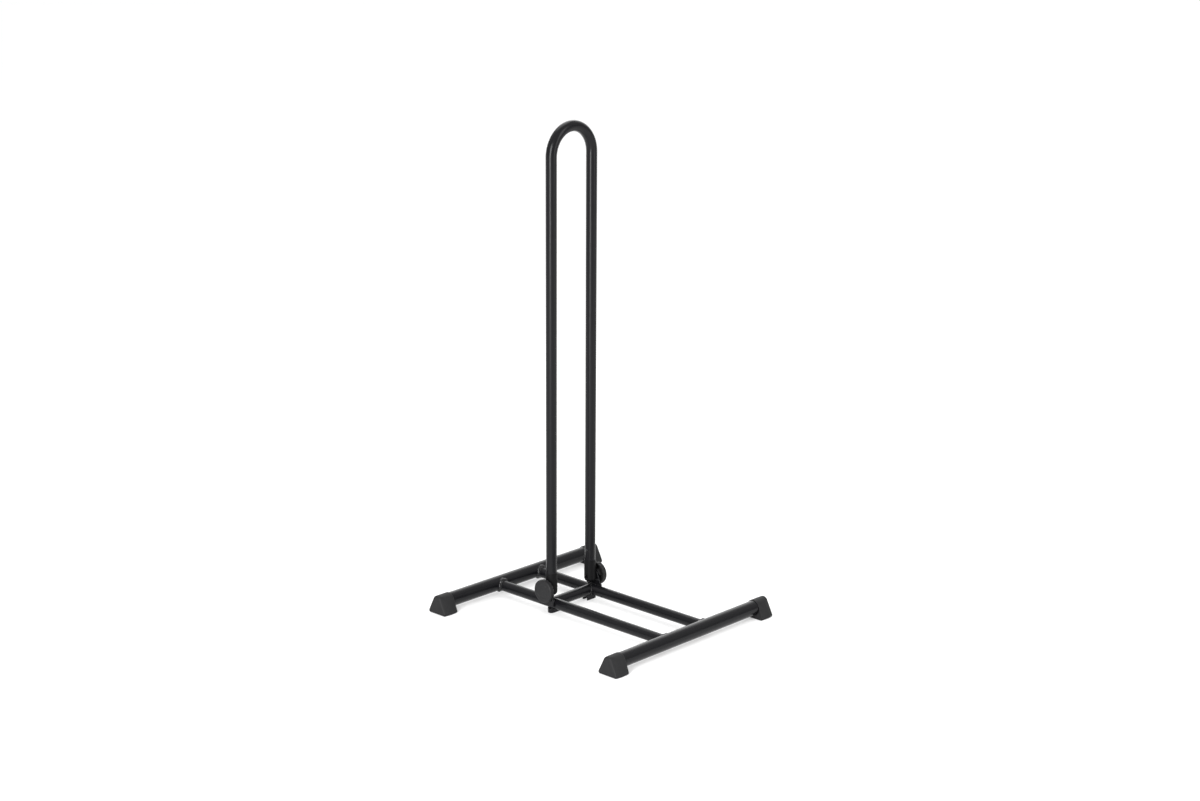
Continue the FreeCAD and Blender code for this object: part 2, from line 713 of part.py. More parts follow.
hoop_tube()
mirrored(right_leg_end(), "left_leg_end")
mirrored(right_rivet(), "left_leg_rivet")
mirrored(right_bolt(), "left_pivot_bolt")
liner = ring("right_hinge_washer", cell("liner_diameter") / 2, bolt_radius,
             cell("liner_thickness"), half_spacing + cell("cheek_reach"))
mirrored(liner, "left_hinge_washer")


# ---- the knobs ----

washer_start = ear_outer + cell("washer_gap")
hub_back = washer_start + cell("washer_thickness") + cell("washer_gap")
nut_start = hub_back + cell("nut_cover")
knob_back = cell("knob_back")
knob_face = knob_back + cell("knob_depth")


def right_knob():
    """A shallow cup with a fluted rim, closed outside, ribbed and hollow towards the ear."""
    body = new_body((0, hinge_depth, hinge_height))
    rim = cell("knob_diameter") / 2
    skirt = rim - cell("knob_skirt")
    hub = cell("knob_hub") / 2
    web = knob_face - cell("knob_web")
    dish = knob_face - cell("knob_dish_depth")
    dish_radius = cell("knob_dish") / 2
    half = new_sketch(body, "XZ_Plane")
    draw_polygon(half, [(hub_back, 0), (hub_back, hub), (web, hub), (web, skirt), (knob_back, skirt),
                        (knob_back, rim), (knob_face, rim), (knob_face, dish_radius),
                        (dish, dish_radius), (dish, 0)])
    feature(body, "Revolution", half, ReferenceAxis=(half, ["H_Axis"]))
    round_edges(body, cell("knob_round"), lambda edge: faces_out(edge, rim.value, knob_face.value))
    flute = new_sketch(body, "YZ_Plane", lift=knob_back)
    draw_circle(flute, (ZERO, rim + cell("flute_radius") - cell("flute_depth")), cell("flute_radius"))
    groove = bore(body, flute, cell("knob_depth") - cell("flute_land"), Reversed=True)
    repeat(body, groove, cell("flute_count"))
    rib = new_sketch(body, "YZ_Plane", lift=knob_back + cell("rib_step"))
    half_rib = cell("rib_thickness") / 2
    inside, outside = hub - half_rib, skirt + half_rib
    draw_polygon(rib, [(-half_rib, inside), (half_rib, inside), (half_rib, outside), (-half_rib, outside)])
    web_rib = feature(body, "Pad", rib, Length=web - knob_back - cell("rib_step"))
    repeat(body, web_rib, cell("rib_count"))
    pocket = new_sketch(body, "YZ_Plane", lift=nut_start)
    draw_polygon(pocket, hexagon(cell("nut_flats")))
    bore(body, pocket, cell("nut_height"), Reversed=True)
    hole = new_sketch(body, "YZ_Plane", lift=hub_back)
    draw_circle(hole, (ZERO, ZERO), bolt_hole)
    bore(body, hole, cell("nut_cover"), Reversed=True)
    return subpart(body, "right_knob")


def faces_out(edge, radius, height):
    """Whether an edge is the circle of this radius in the plane X = height."""
    span = edge.BoundBox
    return abs(span.ZLength - 2 * radius) < 0.01 and abs(span.XMin - height) < 0.01


def right_nut():
    """The thin nut moulded into the knob."""
    at = (nut_start, hinge_depth, hinge_height)
    blank = prism(cell("nut_flats"), cell("nut_height"), at, "X")
    return subpart(cut(blank, cylinder(bolt_hole, cell("nut_height"), at, "X")), "right_knob_nut")


mirrored(right_knob(), "left_knob")
mirrored(right_nut(), "left_knob_nut")
washer = ring("right_knob_washer", cell("washer_diameter") / 2, bolt_hole,
              cell("washer_thickness"), washer_start)
mirrored(washer, "left_knob_washer")


# ---- check everything, then write one file for each piece ----

doc.recompute()
failed = [thing.Label for thing in doc.Objects if "Invalid" in thing.State or "Error" in thing.State]
if failed:
    raise RuntimeError(f"objects that failed: {failed}")
for piece in SUBPARTS:
    if piece.Shape.isNull() or not piece.Shape.isValid() or not piece.Shape.Solids:
        raise RuntimeError(f"{piece.Label} has no valid solid")
os.makedirs("parts", exist_ok=True)
for piece in SUBPARTS:
    piece.Shape.exportStep(f"parts/{piece.Label}.step")
    bounds = piece.Shape.BoundBox
    print(f"{piece.Label}: {len(piece.Shape.Solids)} solid(s), {piece.Shape.Volume:.0f} mm3, "
          f"X {bounds.XMin:.1f}..{bounds.XMax:.1f}  Y {bounds.YMin:.1f}..{bounds.YMax:.1f}  "
          f"Z {bounds.ZMin:.1f}..{bounds.ZMax:.1f}")
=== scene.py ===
# %% [markdown]
# # A floor rack for one bicycle
#
# The real thing is welded from round steel tube: a flat base of two cross tubes and two rails,
# and a tall hoop that stands between the rails' ears on two bolts.  Black powder coat covers the
# steel. The feet, the ends of the legs and the two knobs are moulded rubber and plastic.
#
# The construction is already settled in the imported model, so this notebook only dresses it.  A
# tube that is right stays as it is and gets a finish.  What is moulded, bent or welded gets a new
# surface in exactly the same place, because that is where soft edges and small unevenness show.

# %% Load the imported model
import json
import math

import bpy
import numpy as np
from mathutils import Matrix, Vector


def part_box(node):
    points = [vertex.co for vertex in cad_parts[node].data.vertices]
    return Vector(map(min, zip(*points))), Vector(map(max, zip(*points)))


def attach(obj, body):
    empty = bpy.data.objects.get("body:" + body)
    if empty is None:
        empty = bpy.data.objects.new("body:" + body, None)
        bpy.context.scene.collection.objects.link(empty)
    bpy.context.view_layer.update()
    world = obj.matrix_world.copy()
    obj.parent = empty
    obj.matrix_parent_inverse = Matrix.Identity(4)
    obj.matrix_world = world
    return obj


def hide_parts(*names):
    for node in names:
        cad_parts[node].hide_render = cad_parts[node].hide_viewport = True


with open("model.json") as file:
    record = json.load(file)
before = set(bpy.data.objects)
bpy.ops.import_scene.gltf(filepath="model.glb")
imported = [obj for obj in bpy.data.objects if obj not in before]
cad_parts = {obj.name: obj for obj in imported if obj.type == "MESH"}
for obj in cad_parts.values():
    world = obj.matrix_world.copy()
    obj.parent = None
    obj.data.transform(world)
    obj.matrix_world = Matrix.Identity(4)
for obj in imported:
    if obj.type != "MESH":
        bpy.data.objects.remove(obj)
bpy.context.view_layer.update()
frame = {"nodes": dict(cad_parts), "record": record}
nodes = frame["nodes"]
MM = 0.001

# %% [markdown]
# ## The camera
#
# The photograph was taken from the left and a little above.  Its view was worked out from the
# straight tubes: their vanishing lines give the direction, and the known tube sizes give the
# distance.  A long lens keeps the legs almost parallel.

# %% Place the camera
VIEW_AZIMUTH = math.radians(-46.696)
VIEW_ELEVATION = math.radians(15.426)
VIEW_ROLL = math.radians(0.293)
VIEW_DISTANCE = 3.411
VIEW_TARGET = Vector((0.058656, 0.058294, 0.304565))
LENS_MM = 69.306
SENSOR_MM = 36.0


def view_matrix(azimuth, elevation, roll, distance, target):
    """A camera's place: out from the target along a direction given as compass turn and height."""
    back = Vector((math.sin(azimuth) * math.cos(elevation),
                   -math.cos(azimuth) * math.cos(elevation),
                   math.sin(elevation)))
    level = Vector((0, 0, 1)).cross(back).normalized()
    upright = back.cross(level)
    right = level * math.cos(roll) + upright * math.sin(roll)
    up = upright * math.cos(roll) - level * math.sin(roll)
    turn = Matrix((right, up, back)).transposed().to_4x4()
    return Matrix.Translation(target + back * distance) @ turn


lens = bpy.data.cameras.new("photo_view")
lens.lens = LENS_MM
lens.sensor_width = SENSOR_MM
camera = bpy.data.objects.new("photo_view", lens)
camera.matrix_world = view_matrix(VIEW_AZIMUTH, VIEW_ELEVATION, VIEW_ROLL, VIEW_DISTANCE,
                                  VIEW_TARGET)
bpy.context.scene.collection.objects.link(camera)
bpy.context.scene.camera = camera
print(f"camera at {[round(value, 3) for value in camera.location]}")

# %% [markdown]
# ## Finishes
#
# Paint colours are given as sRGB hex codes, the way a paint chart gives them, while
# shaders want linear light.  One function converts.  Another adds a shader node with its settings
# and links, so that each finish below reads as a short recipe.

# %% Colour and node helpers
def linear(hex_code):
    """An sRGB hex colour as linear red, green, blue and a solid alpha."""
    values = [int(hex_code[start:start + 2], 16) / 255 for start in (1, 3, 5)]
    return [value / 12.92 if value <= 0.04045 else ((value + 0.055) / 1.055) ** 2.4
            for value in values] + [1.0]


def add_node(tree, kind, settings=(), **links):
    """A shader node with its properties or socket values set and its inputs linked."""
    node = tree.nodes.new(kind)
    for name, value in dict(settings).items():
        if name in node.inputs:
            node.inputs[name].default_value = value
        else:
            setattr(node, name, value)
    for name, source in links.items():
        tree.links.new(source, node.inputs[name.replace("_", " ")])
    return node


def new_finish(name):
    """A material with only an output; returns it with its node tree."""
    material = bpy.data.materials.new(name)
    material.use_nodes = True
    material.node_tree.nodes.clear()
    return material, material.node_tree


def grainy(name, colour, roughness, grain_mm, depth_mm, **settings):
    """A plain surface whose only pattern is a fine unevenness with grains of one size."""
    material, tree = new_finish(name)
    place = add_node(tree, "ShaderNodeTexCoord")
    grain = add_node(tree, "ShaderNodeTexNoise", {"Scale": 1 / (grain_mm * MM), "Detail": 2.0},
                     Vector=place.outputs["Object"])
    bump = add_node(tree, "ShaderNodeBump", {"Strength": 1.0, "Distance": depth_mm * MM},
                    Height=grain.outputs["Fac"])
    looks = {"Base Color": linear(colour), "Roughness": roughness}
    looks.update({key.replace("_", " "): value for key, value in settings.items()})
    shader = add_node(tree, "ShaderNodeBsdfPrincipled", looks, Normal=bump.outputs["Normal"])
    add_node(tree, "ShaderNodeOutputMaterial", Surface=shader.outputs["BSDF"])
    return material


# %% [markdown]
# ## What each finish is
#
# The tubes wear polyester powder, melted into one skin in an oven: satin, with the low waves
# called orange peel.  The feet are moulded EPDM rubber and the knobs and leg ends glass-filled
# nylon, both from spark-eroded moulds whose fine grain takes away the gloss.  The bolts are
# blackened with hot salts, the nuts and washers are zinc plated.
#
# A real coat mirrors more than these do.  Their specular levels are fitted to the tones of the
# photograph, because the table under them has to be pure white and every tube mirrors it.

# %% Make the finishes
FINISHES = {
    # Powder coat: waves some 2 mm apart and a few thousandths of a millimetre high.
    "powder_coated_steel": grainy("satin_black_powder_coat", "#0F0F11", 0.24, 2.0, 0.004,
                                  Specular_IOR_Level=0.16),
    # The same coat over a weld: it runs thin on the crests, so it shines more.
    "coated_weld": grainy("powder_coat_over_weld", "#121213", 0.26, 2.0, 0.02,
                          Specular_IOR_Level=0.25),
    # EPDM rubber: matte, a little greyer than the coat, with a 0.5 mm mould grain.
    "foot_rubber": grainy("moulded_epdm_rubber", "#161617", 0.6, 0.5, 0.02,
                          Specular_IOR_Level=0.22),
    # Nylon with glass fibre: dry, and a little darker than the coat.
    "black_nylon": grainy("moulded_glass_nylon", "#0B0B0C", 0.46, 0.6, 0.01,
                          Specular_IOR_Level=0.1),
    # The same nylon with more grain, from a mould etched so that fingers grip it: greyer.
    "knob_plastic": grainy("grained_knob_nylon", "#19191A", 0.5, 0.5, 0.015,
                           Specular_IOR_Level=0.2),
    # Black oxide over steel: thin and oily, so it keeps some of the metal's shine.
    "black_steel": grainy("black_oxide_steel", "#1C1C1E", 0.34, 0.8, 0.004, Metallic=0.6),
    # Zinc plating, passivated clear.
    "plated_steel": grainy("clear_zinc_plating", "#B9BCBE", 0.34, 0.5, 0.004, Metallic=1.0),
}
CAD_FINISH = {row["node"]: row["material_slot"] for row in frame["record"]["subparts"]}
for name, slot in CAD_FINISH.items():
    nodes[name].data.materials.clear()
    nodes[name].data.materials.append(FINISHES[slot])
print(f"{len(FINISHES)} finishes on {len(CAD_FINISH)} nodes")

# %% [markdown]
# ## Surfaces from grids
#
# Every new piece is a grid of points wrapped round like a sleeve.  Each row is a ring, and the
# rows follow one another along the piece.  Either both ends close on a middle point, or the last
# ring meets the first, as on a doughnut.  numpy works out the whole grid at once.  The sign of
# the enclosed volume says whether the faces point outwards, so mirrored pieces come out right by
# themselves.

# %% Turn rings into a piece
SHARP_EDGE = math.radians(38)


def enclosed_volume(points, triangles):
    """The sum of the signed volumes of the pyramids from the origin to every triangle."""
    corners = points[triangles]
    return np.einsum("ij,ij->i", corners[:, 0], np.cross(corners[:, 1], corners[:, 2])).sum() / 6


def skin(rings, loop=False):
    """Points and outward faces of one closed sleeve over rings of points."""
    rows, columns = rings.shape[:2]
    points = rings.reshape(-1, 3)
    index = np.arange(rows * columns).reshape(rows, columns)
    index = np.hstack([index, index[:, :1]])
    if loop:
        index = np.vstack([index, index[:1]])
    quads = np.stack([index[:-1, :-1], index[:-1, 1:], index[1:, 1:], index[1:, :-1]], -1)
    quads = quads.reshape(-1, 4)
    fans = np.zeros((0, 3), int)
    if not loop:
        first, last = np.full(columns, len(points)), np.full(columns, len(points) + 1)
        points = np.vstack([points, rings[0].mean(0), rings[-1].mean(0)])
        fans = np.vstack([np.stack([index[0, 1:], index[0, :-1], first], -1),
                          np.stack([index[-1, :-1], index[-1, 1:], last], -1)])
    triangles = np.vstack([quads[:, [0, 1, 2]], quads[:, [0, 2, 3]], fans])
    if enclosed_volume(points, triangles) < 0:
        quads, fans = quads[:, ::-1], fans[:, ::-1]
    return points, quads, fans


def new_piece(name, body, replaced, *skins):
    """One or more skins as a piece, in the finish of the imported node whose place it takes."""
    mesh = bpy.data.meshes.new(name)
    starts = np.cumsum([0] + [len(points) for points, _, _ in skins])
    faces = [face for start, (_, quads, fans) in zip(starts, skins)
             for face in (quads + start).tolist() + (fans + start).tolist()]
    mesh.from_pydata(np.vstack([points for points, _, _ in skins]).tolist(), [], faces)
    mesh.shade_smooth()
    mesh.set_sharp_from_angle(angle=SHARP_EDGE)
    slot = CAD_FINISH[replaced]
    mesh.materials.append(FINISHES[slot])
    piece = bpy.data.objects.new(name, mesh)
    bpy.context.scene.collection.objects.link(piece)
    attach(piece, body)
    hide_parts(replaced)
    print(f"{name}: {len(faces)} faces")
    return piece


# %% [markdown]
# ## Where things are
#
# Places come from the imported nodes' boxes, so that the new surfaces can't drift away from them.

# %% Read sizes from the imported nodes
def span(name):
    """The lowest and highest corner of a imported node, as numpy arrays."""
    return [np.array(corner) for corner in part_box(name)]


def middle(name):
    """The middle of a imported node's box."""
    return sum(span(name)) / 2


CROSS_RADIUS = np.ptp(span("front_cross_tube"), axis=0)[2] / 2
CROSS_AXIS = middle("front_cross_tube")
RAIL_RADIUS = np.ptp(span("right_rail"), axis=0)[2] / 2
RAIL_AXIS = middle("right_rail")
CROSSBAR_AXIS = middle("hinge_crossbar")
PIVOT = middle("right_knob")
MIRROR_X = np.array([-1.0, 1.0, 1.0])
MIRROR_Y = np.array([1.0, -1.0, 1.0])
print(f"pivot line at y {PIVOT[1]:.4f}, z {PIVOT[2]:.4f}")


# %% Curves that several pieces share
def smooth_step(value, low, high):
    """0 below low, 1 above high and an S-shaped rise between them."""
    share = np.clip((value - low) / (high - low), 0, 1)
    return share * share * (3 - 2 * share)


def rounded_outline(corners, radii, steps=7, fill=6):
    """A closed anticlockwise outline with an arc in each corner, and the normal at each point.

    Each arc turns from square to the side before it to square to the side after it, about a centre
    that lies one radius inside both sides.  Points are also set along the straights.
    """
    corners = np.array(corners, float)
    before = corners - np.roll(corners, 1, axis=0)
    after = np.roll(before, -1, axis=0)
    normal_in, normal_out = (np.stack([side[:, 1], -side[:, 0]], -1)
                             / np.linalg.norm(side, axis=1)[:, None] for side in (before, after))
    radii = np.array(radii, float)[:, None]
    bisector = (normal_in + normal_out) / (1 + (normal_in * normal_out).sum(1, keepdims=True))
    centres = corners - bisector * radii
    start = np.arctan2(normal_in[:, 1], normal_in[:, 0])[:, None]
    turn = (np.arctan2(normal_out[:, 1], normal_out[:, 0])[:, None] - start) % (2 * np.pi)
    angles = start + turn * np.linspace(0, 1, steps)
    normals = np.stack([np.cos(angles), np.sin(angles)], -1)
    arcs = centres[:, None] + normals * radii[:, None]
    share = np.linspace(0, 1, fill + 2)[1:-1, None]
    straights = arcs[:, -1:] * (1 - share) + np.roll(arcs, -1, axis=0)[:, :1] * share
    normals = np.concatenate([normals, np.repeat(normals[:, -1:], fill, axis=1)], axis=1)
    return np.concatenate([arcs, straights], axis=1).reshape(-1, 2), normals.reshape(-1, 2)


def revolve_points(radius, along, angles):
    """Rings about the X axis: radius and along may change from ring to ring and round each ring."""
    return np.stack([along + 0 * angles, radius * np.cos(angles), radius * np.sin(angles)], -1)


# %% [markdown]
# ## The end caps
#
# Each foot is a rubber sleeve pushed over the end of a cross tube.  At its open lip it is round
# over the tube and wide at the floor.  Its last stretch narrows to a blunt triangle.  Rubber
# shrinks as it cures, so the sole bows out a little in the middle of its length, and all edges
# are soft.
#
# A box with bevels could be pulled into this shape, but the section is simple enough to write
# down: a round top, two slants, two round corners and a flat sole.  It is carried along the cap
# while its top circle shrinks and rises.

# %% The section of a cap
CAP_CORNER = 3 * MM
CAP_HALF_BASE = 20 * MM
CAP_APEX_RADIUS, CAP_APEX_HEIGHT = 7.6 * MM, 21.2 * MM
CAP_SKIN = 1 * MM


def cap_section(radius, height, half_base, inset):
    """The outline across a cap, one row for each row of the given columns.

    The slant from the sole's sharp corner touches the top circle.  Arcs run between the directions
    square to the sides, straights between the arcs' ends, and the inset shortens every radius.
    """
    def arc(across, up, size, start, end, count):
        angle = start + (end - start) * np.linspace(0, 1, count)
        return np.stack([across + size * np.cos(angle), up + size * np.sin(angle)], -1)

    def straight(before, after, count):
        share = np.linspace(0, 1, count + 2)[1:-1, None]
        return before[:, -1:] * (1 - share) + after[:, :1] * share

    slant = np.arctan2(height, half_base) + np.arcsin(radius / np.hypot(height, half_base))
    reach = half_base - CAP_CORNER / np.tan(slant / 2)
    square = np.pi / 2 - slant
    top = arc(0, height, radius - inset, square, np.pi - square, 25)
    left = arc(-reach, CAP_CORNER, CAP_CORNER - inset, np.pi - square, np.pi * 3 / 2, 11)
    right = arc(reach, CAP_CORNER, CAP_CORNER - inset, np.pi * 3 / 2, np.pi * 2 + square, 11)
    return np.concatenate([top, straight(top, left, 12), left, straight(left, right, 16), right,
                           straight(right, top, 12)], axis=1)


# %% Carry the section along the cap
CAP_BOW = 1.3 * MM
CAP_TAPER = 9 * MM
CAP_EDGE = 2 * MM
CAP_LIP_EDGE = 0.6 * MM
CAP_CROWN = 0.3 * MM
CAP_END_WALL = 10 * MM
CAP_LIP_FLARE = 0.35 * MM
SOCKET_PLAY = 0.12 * MM
TAPER_SOFTNESS = 0.02
BOW_REACH = 0.4


def cap_rings(length):
    """Rings from the bottom of the socket, over the lip and along the outside to the end face."""
    turn = np.linspace(0, np.pi / 2, 8)
    plain = np.linspace(CAP_LIP_EDGE, length - CAP_EDGE, 32)[1:-1]
    along = np.concatenate([CAP_LIP_EDGE * (1 - np.cos(turn)), plain,
                            length - CAP_EDGE * (1 - np.sin(turn))])[:, None]
    inset = np.concatenate([CAP_LIP_EDGE * (1 - np.sin(turn)), plain * 0,
                            CAP_EDGE * (1 - np.cos(turn))])[:, None]
    share = (along - length + CAP_TAPER) / CAP_TAPER
    taper = (share + np.sqrt(share ** 2 + TAPER_SOFTNESS)) / 2
    tube_height = CROSS_AXIS[2]
    sleeve = CROSS_RADIUS + CAP_SKIN
    radius = sleeve + (CAP_APEX_RADIUS - sleeve) * taper
    height = tube_height + (CAP_APEX_HEIGHT - tube_height) * taper
    bow = CAP_BOW * (BOW_REACH - (2 * along / length - 1) ** 2)
    outline = cap_section(radius, height, CAP_HALF_BASE + bow, inset)
    outside = np.concatenate([np.repeat(along[:, None], outline.shape[1], axis=1), outline],
                             axis=-1)

    from_axis = outside[0, :, 1:] - [0, tube_height]
    spokes = from_axis / np.linalg.norm(from_axis, axis=1, keepdims=True)
    depth = np.array([length - CAP_END_WALL, CAP_LIP_EDGE, 0.1 * MM])[:, None]
    bore = CROSS_RADIUS + SOCKET_PLAY + np.array([0, 0, CAP_LIP_FLARE])[:, None]
    socket = np.stack([depth + 0 * bore * spokes[:, 0], bore * spokes[:, 0],
                       tube_height + bore * spokes[:, 1]], -1)

    size = np.array([0.85, 0.6, 0.3])[:, None, None]
    centre = outside[-1].mean(0)
    face = centre + (outside[-1] - centre) * size
    face[..., 0] += CAP_CROWN * (1 - size[..., 0] ** 2)
    return np.concatenate([socket, outside, face])


right_cap_low, right_cap_high = span("front_right_cap")
cap = cap_rings(right_cap_high[0] - right_cap_low[0]) + [right_cap_low[0], CROSS_AXIS[1], 0]
for name, flip in (("front_right_cap", 1), ("front_left_cap", MIRROR_X),
                   ("rear_right_cap", MIRROR_Y), ("rear_left_cap", MIRROR_X * MIRROR_Y)):
    new_piece(f"rubber_{name}", "base", name, skin(cap * flip))

# %% [markdown]
# ## The hoop
#
# The hoop is one tube, bent round a former.  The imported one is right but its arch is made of
# short flats, which show against a bright background.  A circle carried along two lines and a
# half circle gives as many rings as the arch needs.  The little hole near the top lets hot gas
# out of the closed tube when it is coated; powder half fills it, so it is a dimple that pushes
# the rings inward.

# %% Hoop tube
HOOP_VENT_DEPTH = 1.3 * MM
HOOP_VENT_RADIUS = 1.8 * MM
HOOP_VENT_HEIGHT = 671 * MM
HOOP_VENT_REACH = 3.6 * MM
ARCH_RINGS = 90
TUBE_SIDES = 96


def hoop_rings():
    """A circle carried up one leg, over a half circle and down the other leg."""
    low, high = span("hoop_tube")
    radius = (high[1] - low[1]) / 2
    bend = (high[0] - low[0]) / 2 - radius
    arch_height = high[2] - radius - bend
    climb = np.concatenate([np.linspace(low[2], HOOP_VENT_HEIGHT - 4 * MM, 40),
                            HOOP_VENT_HEIGHT + np.linspace(-1, 1, 24) * HOOP_VENT_REACH])
    half_turn = np.linspace(0, np.pi, ARCH_RINGS)
    turn = np.concatenate([climb * 0, half_turn, climb * 0 + np.pi])[:, None]
    height = np.concatenate([climb, np.full(ARCH_RINGS, arch_height), climb[::-1]])[:, None]
    round_tube = np.linspace(0, 2 * np.pi, TUBE_SIDES, endpoint=False)
    outward, across = np.cos(round_tube), np.sin(round_tube)
    vent = np.hypot(radius * (across + 0.25), height - HOOP_VENT_HEIGHT)
    facing = (outward < 0) & (turn == 0)
    dent = HOOP_VENT_DEPTH * (1 - smooth_step(vent, 0.6 * HOOP_VENT_RADIUS,
                                              1.15 * HOOP_VENT_RADIUS))
    size = radius - dent * facing
    reach = bend + size * outward
    return np.stack([reach * np.cos(turn), middle("hoop_tube")[1] - size * across + 0 * turn,
                     height + reach * np.sin(turn)], -1)


new_piece("bent_hoop_tube", "hoop", "hoop_tube", skin(hoop_rings()))

# %% [markdown]
# ## The hinge ears
#
# An ear is punched from 3 mm plate: round about the bolt, wide where it is welded to the rail. 
# The punch and the coat leave its edges soft.  The skin goes once round the plate's thickness,
# from the outside edge over one face, through the hole and back over the other face, so the last
# ring meets the first, as on a doughnut.

# %% Ears
EAR_RADIUS = 8 * MM
EAR_SHOULDER = 20.5 * MM
EAR_CORNERS = 2 * MM
EAR_SOFT_EDGE = 0.6 * MM
BOLT_HOLE_RADIUS = 3.05 * MM


def ear_rings():
    """A right ear: its outline in Y and Z about the pivot, drawn in at both edges and to the hole.

    The slants touch the circle about the pivot, so the corner where they would cross, rounded with
    that circle's radius, is the round top.
    """
    low, high = span("right_hinge_ear")
    half_foot = (high[1] - low[1]) / 2
    shoulder, bottom = EAR_SHOULDER - PIVOT[2], low[2] - PIVOT[2]
    square = (math.acos(EAR_RADIUS / math.hypot(half_foot, shoulder))
              + math.atan2(shoulder, half_foot))
    crossing = EAR_RADIUS / math.sin(square)
    corners = [(0, crossing), (-half_foot, shoulder), (-half_foot, bottom), (half_foot, bottom),
               (half_foot, shoulder)]
    outline, normals = rounded_outline(corners, [EAR_RADIUS] + [EAR_CORNERS] * 4, steps=13, fill=8)
    turn = np.linspace(0, np.pi / 2, 6)
    inset = EAR_SOFT_EDGE * (1 - np.cos(turn))
    edge = outline - normals * inset[:, None, None]
    hole = outline / np.linalg.norm(outline, axis=1, keepdims=True) * BOLT_HOLE_RADIUS
    share = np.array([0.25, 0.5, 0.75, 1.0])[:, None, None]
    one_side = np.concatenate([edge, edge[-1] * (1 - share) + hole * share])
    depth = np.concatenate([EAR_SOFT_EDGE * (1 - np.sin(turn)), share.ravel() * 0])
    along = np.concatenate([high[0] - depth, (low[0] + depth)[::-1]])
    both_sides = np.concatenate([one_side, one_side[::-1]])
    return np.concatenate([np.repeat(along[:, None, None], both_sides.shape[1], axis=1),
                           both_sides + PIVOT[1:]], axis=-1)


ear = ear_rings()
new_piece("punched_right_ear", "base", "right_hinge_ear", skin(ear, loop=True))
new_piece("punched_left_ear", "base", "left_hinge_ear", skin(ear * MIRROR_X, loop=True))

# %% [markdown]
# ## The middle feet
#
# Under each end of the crossbar a strip of steel, bent into a U, stands on the floor and carries
# the load of the wheel.  A rectangle with soft corners is carried along the U.  Its upper edge
# follows the underside of the two tubes that rest on it.

# %% Middle feet
STRIP_THICKNESS = 2 * MM
STRIP_SOFT_EDGE = 0.5 * MM


def underside(distance, radius, axis_height):
    """How high a level tube's underside is at distances from its axis; endless beyond its sides."""
    inside = np.clip(1 - (distance / radius) ** 2, 0, None)
    return np.where(np.abs(distance) < radius, axis_height - radius * np.sqrt(inside), np.inf)


def middle_foot_rings():
    """A strip's section carried along a U: in along one side, round the outer end, and back.

    The section's heights are scaled, so that its top is the plain height or the tubes' underside.
    """
    low, high = span("right_middle_foot")
    bend = (high[1] - low[1] - STRIP_THICKNESS) / 2
    bend_centre = high[0] - STRIP_THICKNESS / 2 - bend
    straight = np.linspace(low[0], bend_centre, 40)[:-1]
    turn = np.linspace(-np.pi / 2, np.pi / 2, 33)
    path_x = np.concatenate([straight, bend_centre + bend * np.cos(turn), straight[::-1]])[:, None]
    path_y = np.concatenate([straight * 0 - bend, bend * np.sin(turn),
                             straight * 0 + bend])[:, None]
    facing = np.concatenate([straight * 0 + turn[0], turn, straight * 0 + turn[-1]])[:, None]
    half = STRIP_THICKNESS / 2
    section, _ = rounded_outline([(-half, 0), (half, 0), (half, high[2]), (-half, high[2])],
                                 [STRIP_SOFT_EDGE] * 4)
    x = path_x + np.cos(facing) * section[:, 0]
    y = path_y + np.sin(facing) * section[:, 0]
    tubes = np.minimum(underside(x - RAIL_AXIS[0], RAIL_RADIUS, RAIL_AXIS[2]),
                       underside(y, RAIL_RADIUS, CROSSBAR_AXIS[2]))
    top = np.minimum(high[2], tubes)
    return np.stack([x, y + CROSSBAR_AXIS[1], section[:, 1] * top / high[2]], -1)


middle_foot = middle_foot_rings()
new_piece("bent_right_middle_foot", "base", "right_middle_foot", skin(middle_foot))
new_piece("bent_left_middle_foot", "base", "left_middle_foot", skin(middle_foot * MIRROR_X))

# %% [markdown]
# ## Weld beads
#
# A bead is laid as a row of overlapping drops, so it is a rope with ripples and a few lumps, and
# it glints.  Each bead here is a circle carried along the line where two tubes meet.  Its radius
# swells once for every drop, and slowly with the welder's hand.  The rail beads are the largest:
# their circle's centre lies inside both tubes, so that only a broad low hump shows.

# %% A rope of drops along a path
CROSSBAR_BEAD_RADIUS = 1.5 * MM
EAR_BEAD_INSET = 1.14 * MM
RAIL_BEAD_RADIUS = 4.8 * MM
RAIL_BEAD_SINK = 1.5 * MM
DROP_SPACING = 3.1 * MM
DROP_HEIGHT = 0.4 * MM
SWAY_HEIGHT = 0.22 * MM


def bead_rings(path, side, up, hand, radius):
    """A rope of drops along a path; side and up are the two directions that span its section.

    The drops' crests lean back along the path, so the ripple's phase also turns round the section.
    The drops come at an uneven beat, and some are fatter: hand shifts both, so no two beads are
    alike.
    The radius may change along the path.
    """
    around = np.linspace(0, 2 * np.pi, 24, endpoint=False)
    steps = np.linalg.norm(np.diff(path, axis=0), axis=1)
    travelled = np.concatenate([[0], np.cumsum(steps)])[:, None]
    uneven = 1.1 * np.sin(travelled / (2.9 * MM) + 1.7 * hand)
    drops = np.abs(np.sin(np.pi * travelled / DROP_SPACING + uneven + 0.5 * np.sin(around)))
    sway = (np.sin(travelled / (2.3 * MM) + hand) + np.sin(travelled / (1.1 * MM) + 2.7 * hand)
            + np.sin(travelled / (0.9 * MM) + hand) * np.sin(3 * around + hand))
    size = radius + DROP_HEIGHT * (drops - 0.7) + SWAY_HEIGHT * sway
    return (path[:, None] + (size * np.cos(around))[..., None] * side[:, None]
            + (size * np.sin(around))[..., None] * up[:, None])


